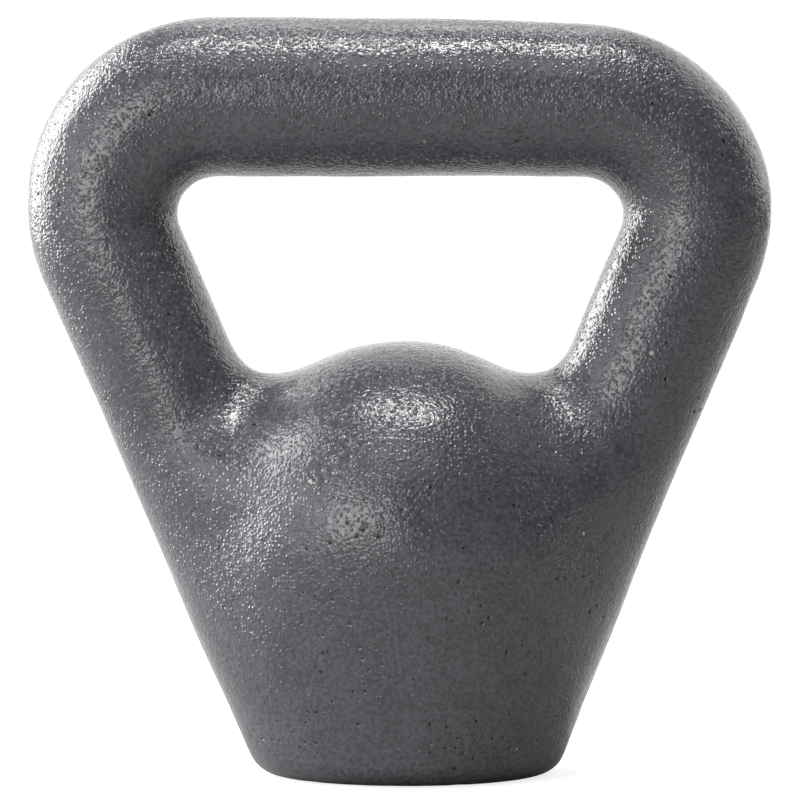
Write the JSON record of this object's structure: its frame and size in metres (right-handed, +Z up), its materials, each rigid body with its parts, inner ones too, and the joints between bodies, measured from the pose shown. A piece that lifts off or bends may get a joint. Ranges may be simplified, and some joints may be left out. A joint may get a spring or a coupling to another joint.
{
  "type": "kettlebell",
  "caption": "Small cast-iron kettlebell: a wide round-cornered handle over a ball-shaped bell on a flat foot, to grip, swing and press.",
  "frame": {"origin": "centre of the flat base", "axes": "+Z up, X along the grip, Y from front to back through the handle's window"},
  "size_m": [0.1584, 0.0832, 0.162],
  "materials": {
    "enamelled_iron": "rough sand-cast iron under a semi-gloss slate-grey enamel, pebbled all over, with small pinholes"
  },
  "bodies": {
    "root": {"grip_bar": "enamelled_iron", "left_corner": "enamelled_iron", "right_corner": "enamelled_iron", "left_horn": "enamelled_iron", "right_horn": "enamelled_iron", "bell": "enamelled_iron", "foot": "enamelled_iron"}
  },
  "joints": []
}
